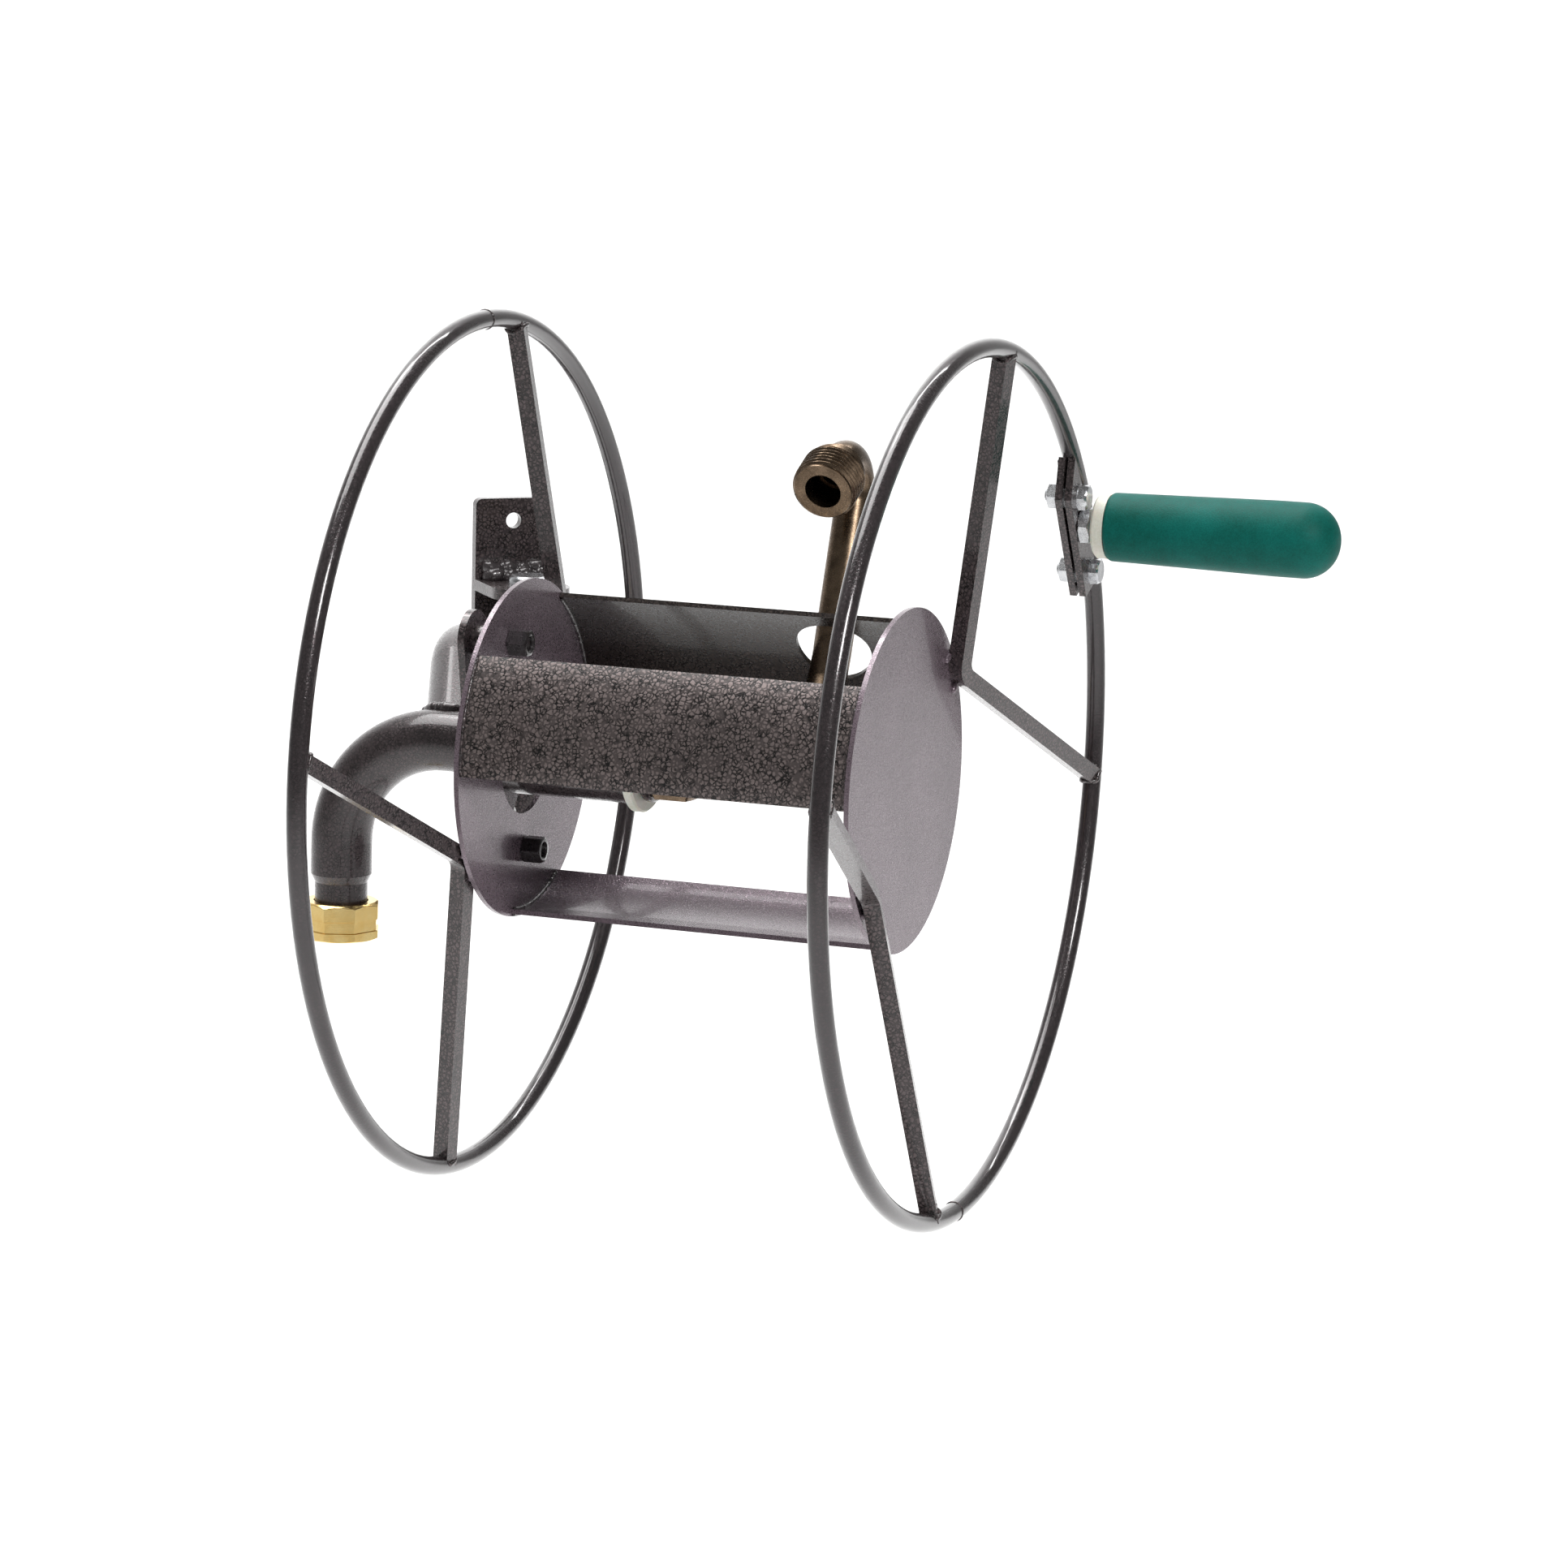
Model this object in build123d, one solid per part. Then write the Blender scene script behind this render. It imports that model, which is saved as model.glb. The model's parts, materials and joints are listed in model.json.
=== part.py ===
from build123d import *
from math import cos, hypot, radians, sin, tan
import os

# Wall-mounted swivel hose reel, in millimetres.
#
# Two frames are used. The wall frame is the part's own frame: its origin is the centre of the wall
# plate's back face, +Y goes into the wall and +Z is up. The reel frame has its origin on the reel's
# axis, midway between the two rims, with +X along the axis towards the crank, +Y towards the wall
# side and +Z up. reel_to_wall carries a shape from the reel frame to the wall frame.
# An angle round the reel's axis is counted from +Y towards +Z.

# Wall bracket and pivot
plate_width = 35.0
plate_thickness = 5.0
plate_height = 152.0
plate_corner = 3.0
screw_hole_d = 7.0
screw_spacing = 132.0
pivot_standoff = 30.0
ear_thickness = 5.0
ear_inner_z = 35.0
pivot_pin_d = 12.7
pin_hole_clearance = 0.05
pin_head_d = 19.0
pin_head_height = 5.0
pin_tip_length = 7.0
pin_washer_d = 24.0
pin_washer_thickness = 1.6
clip_thickness = 1.5
clip_groove_d = 10.4
clip_d = 20.0
clip_mouth = 8.3

# Swing of the arm: the angle between the reel's axis and the wall as it is stored
reel_turn = 41.0
pivot_x = -156.5
pivot_y = 173.4

# Arm
running_gap = 0.05
axial_gap = 0.4
pivot_sleeve_d = 28.0
pivot_sleeve_bore = 19.1
bush_flange_thickness = 2.0
bush_flange_d = 26.0
pivot_bush_length = 20.0
arm_tube_d = 22.2
tube_wall = 2.2
arm_height_at_pivot = 5.0
arm_corner = (-142.0, 62.0, 29.0)
arm_corner_radius = 50.0
arm_end_x = -117.5

# Inlet tube and hose nut
inlet_tube_d = 25.4
inlet_bore_d = 21.0
inlet_end_x = -14.0
inlet_leg_x = -166.5
inlet_bend_radius = 46.0
inlet_leg_end_z = -59.5
neck_top_z = -63.0
neck_d = 22.0
neck_bore_d = 17.0
neck_collar_d = 24.0
neck_collar_thickness = 1.5
hose_nut_top_z = -71.0
hose_nut_bottom_z = -86.5
hose_nut_flats = 31.0
hose_nut_band_flats = 29.6
hose_nut_lip = 2.5
hose_nut_sides = 8
hose_nut_waist = (4.0, 8.4)
hose_nut_chamfer = 1.0
hose_thread_bore_d = 24.6
hose_seat_bore_d = 25.8
hose_thread_length = 7.7
hose_washer_thickness = 2.6
hose_washer_bore_d = 16.0

# Reel structure
rim_spacing = 210.8
rim_outer_d = 355.6
rod_d = 7.94
left_disc_x = -84.1
right_disc_x = 78.2
disc_thickness = 2.0
disc_d = 138.8
strip_outer_r = 68.3
strip_thickness = 2.0
strip_width_angle = 42.5
front_strip_angle = 160.0
bottom_strip_angle = 280.0
back_strip_angle = 40.0
outlet_hole_d = 32.0
outlet_hole_x = 30.0
spoke_size = 7.0
spoke_apex_r = 63.0
spoke_bend_radius = 9.0
upper_spoke_angle = 36.0
lower_spoke_angle = 217.0
spoke_half_angle = 43.5

# Hub
flange_x = -102.5
flange_thickness = 3.0
flange_bolts = ((-18.0, 46.0), (40.0, 8.0), (0.0, -42.0))
flange_corner_r = 12.0
flange_middle_r = 31.0
hub_sleeve_d = 38.0
hub_sleeve_bore = 32.0
hub_sleeve_end_x = -34.0
hub_opening_d = 54.0
bolt_d = 6.0
screw_head_d = 12.0
screw_head_depth = 2.7
screw_socket_flats = 3.0
screw_socket_depth = 2.0
spacer_d = 12.0
hex_flats = 10.0
flange_nut_length = 8.5
flange_screw_recess = 1.5
outer_bush_flange = 1.2
outer_bush_flange_d = 37.0
bush_body_length = 20.0
inner_bush_flange = 4.0
inner_bush_flange_d = 44.0
inner_bush_chamfer = 0.8
hub_collar_d = 35.0
hub_collar_length = 4.0
hub_ring_thickness = 1.6
hub_ring_d = 33.0
hub_ring_mouth = 8.5
ring_groove_depth = 0.8

# Water swivel and gooseneck
cap_nut_flats = 30.0
cap_nut_end_x = -9.0
spigot_start_x = -42.0
spigot_collar_d = 24.0
spigot_collar_thickness = 1.4
spigot_neck_d = 19.0
spigot_end_x = 3.0
spigot_bore_d = 13.0
o_ring_section = 2.4
o_ring_groove_x = (-36.7, -28.7)
o_ring_groove_width = 2.8
gooseneck_d = 16.0
gooseneck_wall = 1.3
gooseneck_x = 28.0
gooseneck_joint_x = -8.0
gooseneck_corners = ((48.0, 24.0), (88.1, 131.9))
gooseneck_radii = (24.0, 46.0, 14.0)
outlet_face = (37.6, 108.6)
outlet_thread_d = 27.0
outlet_thread_length = 14.5
outlet_shoulder_d = 24.4
outlet_shoulder_length = 3.0
outlet_socket_d = 20.0
outlet_length = 22.0
outlet_bore_d = 14.8
outlet_socket_depth = 6.0
thread_chamfer = 1.0

# Crank handle: its plates are centred at handle_angle, and offsets run along the rim from there
handle_angle = 31.5
handle_r = 161.0
handle_plate_inner_r = 153.0
handle_plate_outer_r = 169.8
handle_plate_half_angle = 9.4
handle_plate_top_angle = 13.0
handle_plate_thickness = 3.0
handle_plate_x = 101.4
handle_plate_gap = 1.2
upper_bolt_offset = 21.2
spindle_offset = 6.7
lower_bolt_offset = -17.8
handle_washer_d = 11.0
handle_washer_thickness = 1.2
bolt_head_height = 4.0
nut_height = 5.0
bolt_tip = 1.5
spindle_d = 10.0
spindle_end_x = 205.0
spindle_nut_flats = 14.0
spindle_nut_height = 5.0
handle_bush_x = 115.8
handle_bush_flange = 5.4
handle_bush_flange_d = 27.0
handle_bush_chamfer = 1.0
handle_bush_body_d = 16.0
handle_bush_length = 26.0
grip_length = 97.8
grip_base_d = 28.6
grip_full_d = 31.4
grip_full_x = 192.0
grip_nose_r = 14.8
grip_base_edge_r = 2.0
grip_bore_end_x = 208.0
grip_ring_x = 199.0
grip_ring_d = 13.0
grip_ring_thickness = 1.2
grip_ring_groove_d = 8.4
grip_chamber_d = 15.0
grip_chamber_room = 1.0

# Worked out from the dimensions above
rim_r = (rim_outer_d - rod_d) / 2
rim_x = rim_spacing / 2
reel_to_wall = Pos(0, -pivot_standoff, 0) * Rot(0, 0, -reel_turn) * Pos(-pivot_x, -pivot_y, 0)


def round_bar(radius, x0, x1, y=0.0, z=0.0):
    """A solid round bar parallel to X, from x0 to x1."""
    return Pos((x0 + x1) / 2, y, z) * Rot(0, 90, 0) * Cylinder(radius, x1 - x0)


def round_ring(outer, inner, x0, x1, y=0.0, z=0.0):
    """A plain ring parallel to X, given by its two radii."""
    return round_bar(outer, x0, x1, y, z) - round_bar(inner, x0, x1, y, z)


def hex_bar(flats, x0, x1, y=0.0, z=0.0):
    """A hexagonal bar parallel to X, given across its flats."""
    section = Plane((x0, y, z), x_dir=(0, 1, 0), z_dir=(1, 0, 0)) * RegularPolygon(flats / 2, 6, False)
    return extrude(section, amount=x1 - x0)


def upright(radius, z0, z1, x=0.0, y=0.0):
    """A solid round bar parallel to Z, from z0 to z1."""
    return Pos(x, y, (z0 + z1) / 2) * Cylinder(radius, z1 - z0)


def polar(radius, angle):
    """The Y and Z of a point in the reel's wheel plane."""
    return radius * cos(radians(angle)), radius * sin(radians(angle))


def swept(section, path):
    """A section swept along a path of runs and arcs."""
    start = Plane(origin=path @ 0, z_dir=path % 0)
    return sweep(start * section, path=path)


def hollow_run(outer, inner, path):
    """A tube of two radii along a path."""
    return swept(Circle(outer), path) - swept(Circle(inner), path)


def on_wheel(shape, x, angle, radius):
    """Puts a shape on the wheel: its +X goes outwards, its +Y along the rim, its +Z along the axis."""
    y, z = polar(radius, angle)
    outward = (0, cos(radians(angle)), sin(radians(angle)))
    return Plane((x, y, z), x_dir=outward, z_dir=(1, 0, 0)) * shape


# ---- Wall bracket, in the wall frame ----

def wall_plate():
    flat = RectangleRounded(plate_width, plate_height, plate_corner)
    holes = [Pos(0, side * screw_spacing / 2) * Circle(screw_hole_d / 2) for side in (-1, 1)]
    back = Plane((0, 0, 0), x_dir=(1, 0, 0), z_dir=(0, -1, 0))
    return extrude(back * (flat - holes), amount=plate_thickness)


def ear(z0):
    """A flat ear with a round end, standing out from the wall plate."""
    reach = pivot_standoff - plate_thickness
    web = Pos(0, -plate_thickness - reach / 2, z0) * Rectangle(plate_width, reach)
    tip = Pos(0, -pivot_standoff, z0) * Circle(plate_width / 2)
    hole = Pos(0, -pivot_standoff, z0) * Circle(pivot_pin_d / 2 + pin_hole_clearance)
    behind = Pos(0, plate_width / 2 - plate_thickness, z0) * Rectangle(2 * plate_width, plate_width)
    return extrude(web + tip - hole - behind, amount=ear_thickness)


ear_top_z = ear_inner_z + ear_thickness
washer_z = -ear_top_z - pin_washer_thickness
clip_z = washer_z - clip_thickness


def pivot_pin():
    shank = upright(pivot_pin_d / 2, clip_z - pin_tip_length, ear_top_z, 0, -pivot_standoff)
    head = upright(pin_head_d / 2, ear_top_z, ear_top_z + pin_head_height, 0, -pivot_standoff)
    head = fillet(head.edges().group_by(Axis.Z)[-1], pin_head_height / 2)
    groove = upright(pivot_pin_d, clip_z, washer_z, 0, -pivot_standoff)
    groove -= upright(clip_groove_d / 2, clip_z, washer_z, 0, -pivot_standoff)
    return shank + head - groove


def pin_washer():
    ring = upright(pin_washer_d / 2, washer_z, -ear_top_z, 0, -pivot_standoff)
    return ring - upright(pivot_pin_d / 2, washer_z, -ear_top_z, 0, -pivot_standoff)


def pin_clip():
    """An open snap ring in the pin's groove."""
    ring = upright(clip_d / 2, clip_z, washer_z, 0, -pivot_standoff)
    ring -= upright(clip_groove_d / 2, clip_z, washer_z, 0, -pivot_standoff)
    mouth = Pos(0, -pivot_standoff - clip_d / 2, (clip_z + washer_z) / 2)
    return ring - mouth * Box(clip_mouth, clip_d, clip_thickness)


# ---- Arm, in the reel frame ----

sleeve_half = ear_inner_z - axial_gap - bush_flange_thickness


def pivot_sleeve():
    sleeve = upright(pivot_sleeve_d / 2, -sleeve_half, sleeve_half, pivot_x, pivot_y)
    return sleeve - upright(pivot_sleeve_bore / 2, -sleeve_half, sleeve_half, pivot_x, pivot_y)


def pivot_bush(side):
    """A flanged nylon bush in one end of the pivot sleeve."""
    inner_end = sleeve_half - pivot_bush_length
    outer_end = sleeve_half + bush_flange_thickness
    body = upright(pivot_sleeve_bore / 2, inner_end, sleeve_half, pivot_x, pivot_y)
    flange = upright(bush_flange_d / 2, sleeve_half, outer_end, pivot_x, pivot_y)
    bush = body + flange - upright(pivot_pin_d / 2 + running_gap, inner_end, outer_end, pivot_x, pivot_y)
    return bush if side > 0 else mirror(bush, about=Plane.XY)


def inlet_path():
    """The middle line of the inlet tube, from its open end out to the foot of its leg."""
    return FilletPolyline(
        (inlet_end_x, 0, 0),
        (inlet_leg_x, 0, 0),
        (inlet_leg_x, 0, inlet_leg_end_z),
        radius=inlet_bend_radius,
    )


def support_arm():
    """The tube from the pivot sleeve, out and round to the back of the inlet tube."""
    start = (pivot_x, pivot_y, arm_height_at_pivot)
    path = FilletPolyline(start, arm_corner, (arm_end_x, 0, 0), radius=arm_corner_radius)
    tube = hollow_run(arm_tube_d / 2, arm_tube_d / 2 - tube_wall, path)
    sleeve = upright(pivot_sleeve_d / 2, -ear_inner_z, ear_inner_z, pivot_x, pivot_y)
    return tube - sleeve - swept(Circle(inlet_tube_d / 2), inlet_path())


ring_end_x = flange_x - outer_bush_flange - axial_gap
ring_x = ring_end_x - hub_ring_thickness


def inlet_neck():
    """The necked lower end of the inlet tube, with the collar that the hose nut hangs on."""
    collar_top = hose_nut_top_z - hose_nut_lip - axial_gap
    collar_bottom = collar_top - neck_collar_thickness
    outline = Polyline(
        (inlet_bore_d / 2, inlet_leg_end_z),
        (inlet_tube_d / 2, inlet_leg_end_z),
        (neck_d / 2, neck_top_z),
        (neck_d / 2, collar_top),
        (neck_collar_d / 2, collar_top),
        (neck_collar_d / 2, collar_bottom),
        (neck_bore_d / 2, collar_bottom),
        (neck_bore_d / 2, neck_top_z),
        close=True,
    )
    section = Plane.XZ * make_face(outline)
    return Pos(inlet_leg_x, 0, 0) * revolve(section, Axis.Z)


def inlet_tube():
    tube = hollow_run(inlet_tube_d / 2, inlet_bore_d / 2, inlet_path())
    groove = round_ring(inlet_tube_d, inlet_tube_d / 2 - ring_groove_depth, ring_x, ring_end_x)
    return tube + inlet_neck() - groove


def hub_retaining_ring():
    ring = round_ring(hub_ring_d / 2, inlet_tube_d / 2 - ring_groove_depth, ring_x, ring_end_x)
    mouth = Pos((ring_x + ring_end_x) / 2, 0, -hub_ring_d / 2)
    return ring - mouth * Box(hub_ring_thickness, hub_ring_mouth, hub_ring_d / 2)


hub_collar_x = hub_sleeve_end_x + inner_bush_flange + axial_gap
cap_nut_x = hub_collar_x + hub_collar_length
collar_x = inlet_end_x + axial_gap
lip_x = collar_x + spigot_collar_thickness + axial_gap


def hub_collar():
    """The collar fixed on the inlet tube that the hub runs against."""
    ring = round_bar(hub_collar_d / 2, hub_collar_x, cap_nut_x)
    ring = chamfer(ring.edges(), inner_bush_chamfer)
    return ring - round_bar(inlet_tube_d / 2, hub_collar_x, cap_nut_x)


def swivel_cap_nut():
    """The nut on the end of the inlet tube, whose lip holds the swivel spigot in."""
    nut = hex_bar(cap_nut_flats, cap_nut_x, cap_nut_end_x)
    nut -= round_bar(inlet_tube_d / 2, cap_nut_x, lip_x)
    return nut - round_bar(spigot_neck_d / 2 + axial_gap, lip_x, cap_nut_end_x)


# ---- Hose nut, in the reel frame ----

def hose_nut():
    """An eight-sided swivel nut with a waist round its middle and chamfered corners."""
    height = hose_nut_top_z - hose_nut_bottom_z
    half_side_angle = 180 / hose_nut_sides
    base = Plane((inlet_leg_x, 0, hose_nut_bottom_z))
    outline = RegularPolygon(hose_nut_flats / 2, hose_nut_sides, False, rotation=half_side_angle)
    nut = extrude(base * outline, amount=height)
    corner_r = hose_nut_flats / 2 / cos(radians(half_side_angle))
    blank = upright(corner_r, hose_nut_bottom_z, hose_nut_top_z, inlet_leg_x, 0)
    ends = blank.edges().group_by(Axis.Z)[0] + blank.edges().group_by(Axis.Z)[-1]
    nut = nut & chamfer(ends, hose_nut_chamfer)
    waist_low, waist_high = hose_nut_waist
    waist_outline = RegularPolygon(hose_nut_band_flats / 2, hose_nut_sides, False, rotation=half_side_angle)
    waist = extrude(base.offset(waist_low) * waist_outline, amount=waist_high - waist_low)
    waist_z = hose_nut_bottom_z + waist_low
    nut -= upright(corner_r, waist_z, waist_z + waist_high - waist_low, inlet_leg_x, 0) - waist
    lip_z = hose_nut_top_z - hose_nut_lip
    thread_top_z = hose_nut_bottom_z + hose_thread_length
    nut -= upright(hose_thread_bore_d / 2, hose_nut_bottom_z, thread_top_z, inlet_leg_x, 0)
    nut -= upright(hose_seat_bore_d / 2, thread_top_z, lip_z, inlet_leg_x, 0)
    return nut - upright(neck_d / 2 + axial_gap, lip_z, hose_nut_top_z, inlet_leg_x, 0)


def hose_washer():
    top = hose_nut_top_z - hose_nut_lip - 2 * axial_gap - neck_collar_thickness
    bottom = top - hose_washer_thickness
    ring = upright(hose_seat_bore_d / 2, bottom, top, inlet_leg_x, 0)
    return ring - upright(hose_washer_bore_d / 2, bottom, top, inlet_leg_x, 0)


# ---- Hub, in the reel frame ----

left_outer_x = left_disc_x - disc_thickness
right_outer_x = right_disc_x + disc_thickness
flange_inner_x = flange_x + flange_thickness


def each_bolt(make):
    """The same small piece at each of the three flange bolts, as one group of solids."""
    return Compound(children=[make(y, z) for y, z in flange_bolts])


def bearing_flange():
    """A three-cornered plate with a round corner about each bolt and a wide round middle."""
    face = Plane((flange_x, 0, 0), x_dir=(0, 1, 0), z_dir=(1, 0, 0))
    outline = make_face(Polyline(*flange_bolts, close=True))
    outline = offset(outline, flange_corner_r, kind=Kind.ARC) + Circle(flange_middle_r)
    plate = extrude(face * outline, amount=flange_thickness)
    plate -= round_bar(hub_sleeve_d / 2, flange_x, flange_inner_x)
    for y, z in flange_bolts:
        plate -= flange_screw_cone(y, z) + round_bar(bolt_d / 2, flange_x, flange_inner_x, y, z)
    return plate


def flange_screw_cone(y, z):
    """The countersunk head of a flange screw, flush with the flange."""
    cone = Cone(screw_head_d / 2, bolt_d / 2, screw_head_depth)
    return Pos(flange_x + screw_head_depth / 2, y, z) * Rot(0, 90, 0) * cone


def flange_screw(y, z):
    """A countersunk screw with a hexagon socket."""
    end_x = left_disc_x + flange_nut_length - flange_screw_recess
    screw = flange_screw_cone(y, z) + round_bar(bolt_d / 2, flange_x, end_x, y, z)
    return screw - hex_bar(screw_socket_flats, flange_x, flange_x + screw_socket_depth, y, z)


def flange_spacer(y, z):
    return round_ring(spacer_d / 2, bolt_d / 2, flange_inner_x, left_outer_x, y, z)


def flange_nut(y, z):
    """A tall hexagon nut on the disc's inner face."""
    end_x = left_disc_x + flange_nut_length
    return hex_bar(hex_flats, left_disc_x, end_x, y, z) - round_bar(bolt_d / 2, left_disc_x, end_x, y, z)


def hub_sleeve():
    return round_ring(hub_sleeve_d / 2, hub_sleeve_bore / 2, flange_x, hub_sleeve_end_x)


def outer_hub_bush():
    bush = round_bar(hub_sleeve_bore / 2, flange_x, flange_x + bush_body_length)
    bush += round_bar(outer_bush_flange_d / 2, flange_x - outer_bush_flange, flange_x)
    return bush - round_bar(inlet_tube_d / 2 + running_gap, flange_x - outer_bush_flange, hub_sleeve_end_x)


def inner_hub_bush():
    flange_end = hub_sleeve_end_x + inner_bush_flange
    bush = round_bar(hub_sleeve_bore / 2, hub_sleeve_end_x - bush_body_length, hub_sleeve_end_x)
    flange = round_bar(inner_bush_flange_d / 2, hub_sleeve_end_x, flange_end)
    bush += chamfer(flange.edges().group_by(Axis.X)[-1], inner_bush_chamfer)
    return bush - round_bar(inlet_tube_d / 2 + running_gap, flange_x, flange_end)


# ---- Drum, spokes and rims, in the reel frame ----

def left_disc():
    disc = round_ring(disc_d / 2, hub_opening_d / 2, left_outer_x, left_disc_x)
    for y, z in flange_bolts:
        disc -= round_bar(bolt_d / 2, left_outer_x, left_disc_x, y, z)
    return disc


def right_disc():
    return round_bar(disc_d / 2, right_disc_x, right_outer_x)


def drum_strip(angle):
    """One curved strip of the drum, welded between the two discs."""
    length = right_disc_x - left_disc_x
    middle = ((right_disc_x + left_disc_x) / 2, strip_outer_r - strip_thickness / 2)
    section = Pos(*middle) * Rectangle(length, strip_thickness)
    return Rot(angle - strip_width_angle / 2, 0, 0) * revolve(section, Axis.X, strip_width_angle)


def back_strip():
    """The strip with the round hole that the gooseneck comes out of."""
    outward = (0, cos(radians(back_strip_angle)), sin(radians(back_strip_angle)))
    hole = Plane((outlet_hole_x, 0, 0), x_dir=(1, 0, 0), z_dir=outward) * Circle(outlet_hole_d / 2)
    return drum_strip(back_strip_angle) - extrude(hole, amount=disc_d)


def rim(side):
    return Pos(side * rim_x, 0, 0) * Rot(0, 90, 0) * Torus(rim_r, rod_d / 2)


def spoke(side, angle):
    """A square bar bent to a V, from the rim in to the disc's edge and out to the rim again."""
    disc_face = right_outer_x if side > 0 else left_outer_x
    apex = (disc_face + side * spoke_size / 2, *polar(spoke_apex_r, angle))
    ends = [(side * rim_x, *polar(rim_r, angle + turn)) for turn in (spoke_half_angle, -spoke_half_angle)]
    path = FilletPolyline(ends[0], apex, ends[1], radius=spoke_bend_radius)
    first_arm = Vector(*ends[0]) - Vector(*apex)
    flat_side = first_arm.cross(Vector(*ends[1]) - Vector(*apex))
    start = Plane(origin=path @ 0, x_dir=flat_side, z_dir=path % 0)
    bar = sweep(start * Rectangle(spoke_size, spoke_size), path=path)
    bar -= round_bar(disc_d / 2, left_outer_x, right_outer_x)
    return bar - rim(side) - round_ring(rim_r + rod_d, rim_r, side * rim_x - rod_d, side * rim_x + rod_d)


# ---- Water swivel and gooseneck, in the reel frame ----

o_ring_r = inlet_bore_d / 2 - running_gap - o_ring_section / 2


def swivel_spigot():
    body = round_bar(inlet_bore_d / 2 - running_gap, spigot_start_x, collar_x)
    body += round_bar(spigot_collar_d / 2, collar_x, collar_x + spigot_collar_thickness)
    body += round_bar(spigot_neck_d / 2, collar_x, spigot_end_x)
    for x in o_ring_groove_x:
        ends = (x - o_ring_groove_width / 2, x + o_ring_groove_width / 2)
        body -= round_ring(inlet_bore_d, o_ring_r - o_ring_section / 2, *ends)
    body -= round_bar(spigot_bore_d / 2, spigot_start_x, gooseneck_joint_x)
    return body - round_bar(gooseneck_d / 2, gooseneck_joint_x, spigot_end_x)


def spigot_o_rings():
    ring = Rot(0, 90, 0) * Torus(o_ring_r, o_ring_section / 2)
    return Compound(children=[Pos(x, 0, 0) * ring for x in o_ring_groove_x])


outlet_run = (gooseneck_corners[1][0] - outlet_face[0], gooseneck_corners[1][1] - outlet_face[1])
outlet_back = (outlet_run[0] / hypot(*outlet_run), outlet_run[1] / hypot(*outlet_run))


def gooseneck_tube():
    """The outlet tube: along the axis, out through the back strip, and over like a swan's neck."""
    tube_end = outlet_length - outlet_socket_depth
    corners = [(gooseneck_x, *corner) for corner in gooseneck_corners]
    end = (
        gooseneck_x,
        outlet_face[0] + outlet_back[0] * tube_end,
        outlet_face[1] + outlet_back[1] * tube_end,
    )
    start = (gooseneck_joint_x, 0, 0)
    path = FilletPolyline(start, (gooseneck_x, 0, 0), *corners, end, radius=list(gooseneck_radii))
    return hollow_run(gooseneck_d / 2, gooseneck_d / 2 - gooseneck_wall, path)


def outlet_fitting():
    """The male hose fitting, turned about its own axis and set on the end of the gooseneck."""
    shoulder = outlet_thread_length + outlet_shoulder_length
    tube_end = outlet_length - outlet_socket_depth
    outline = Polyline(
        (outlet_bore_d / 2, 0),
        (outlet_thread_d / 2 - thread_chamfer, 0),
        (outlet_thread_d / 2, thread_chamfer),
        (outlet_thread_d / 2, outlet_thread_length),
        (outlet_shoulder_d / 2, outlet_thread_length),
        (outlet_shoulder_d / 2, shoulder),
        (outlet_socket_d / 2, shoulder),
        (outlet_socket_d / 2, outlet_length),
        (gooseneck_d / 2, outlet_length),
        (gooseneck_d / 2, tube_end),
        (outlet_bore_d / 2, tube_end),
        close=True,
    )
    turned = revolve(Plane.XZ * make_face(outline), Axis.Z)
    return Plane((gooseneck_x, *outlet_face), x_dir=(1, 0, 0), z_dir=(0, *outlet_back)) * turned


# ---- Crank handle, in the reel frame ----

bolt_offsets = (upper_bolt_offset, lower_bolt_offset)
outer_plate_x = handle_plate_x + handle_plate_thickness + handle_plate_gap
outer_face_x = outer_plate_x + handle_plate_thickness


def handle_point(offset_along_rim):
    """The Y and Z of a point on the handle plates, at an offset along the rim from their middle."""
    y, z = polar(handle_r, handle_angle)
    tangent_y, tangent_z = -sin(radians(handle_angle)), cos(radians(handle_angle))
    return y + offset_along_rim * tangent_y, z + offset_along_rim * tangent_z


def handle_plate(x):
    """A plate inside the rim: straight inner edge, radial lower end, slanting upper end."""
    slope = tan(radians(handle_plate_half_angle))
    top_slope = tan(radians(handle_plate_top_angle))
    inner, outer = handle_plate_inner_r, handle_plate_outer_r
    shoulder = outer * cos(radians(handle_plate_top_angle))
    corners = [(inner, -slope), (inner, slope), (shoulder, top_slope), (outer, top_slope), (outer, -slope)]
    outline = Polyline(*[(r - handle_r, r * side) for r, side in corners], close=True)
    plate = extrude(on_wheel(make_face(outline), x, handle_angle, handle_r), amount=handle_plate_thickness)
    plate = plate & round_bar(handle_plate_outer_r, x, x + handle_plate_thickness)
    for offset_along_rim in bolt_offsets:
        y, z = handle_point(offset_along_rim)
        plate -= round_bar(bolt_d / 2, x, x + handle_plate_thickness, y, z)
    return plate


def handle_plate_bolted():
    y, z = handle_point(spindle_offset)
    return handle_plate(outer_plate_x) - round_bar(spindle_d / 2, outer_plate_x, outer_face_x, y, z)


def each_handle_bolt(make):
    """The same small piece at both handle bolts, as one group of solids."""
    return Compound(children=[make(*handle_point(along)) for along in bolt_offsets])


def handle_bolt(y, z):
    head_x = outer_face_x + handle_washer_thickness
    bolt = round_bar(bolt_d / 2, handle_plate_x - nut_height - bolt_tip, head_x, y, z)
    head = hex_bar(hex_flats, head_x, head_x + bolt_head_height, y, z)
    return bolt + head


def handle_nut(y, z):
    ends = (handle_plate_x - nut_height, handle_plate_x)
    return hex_bar(hex_flats, *ends, y, z) - round_bar(bolt_d / 2, *ends, y, z)


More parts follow.
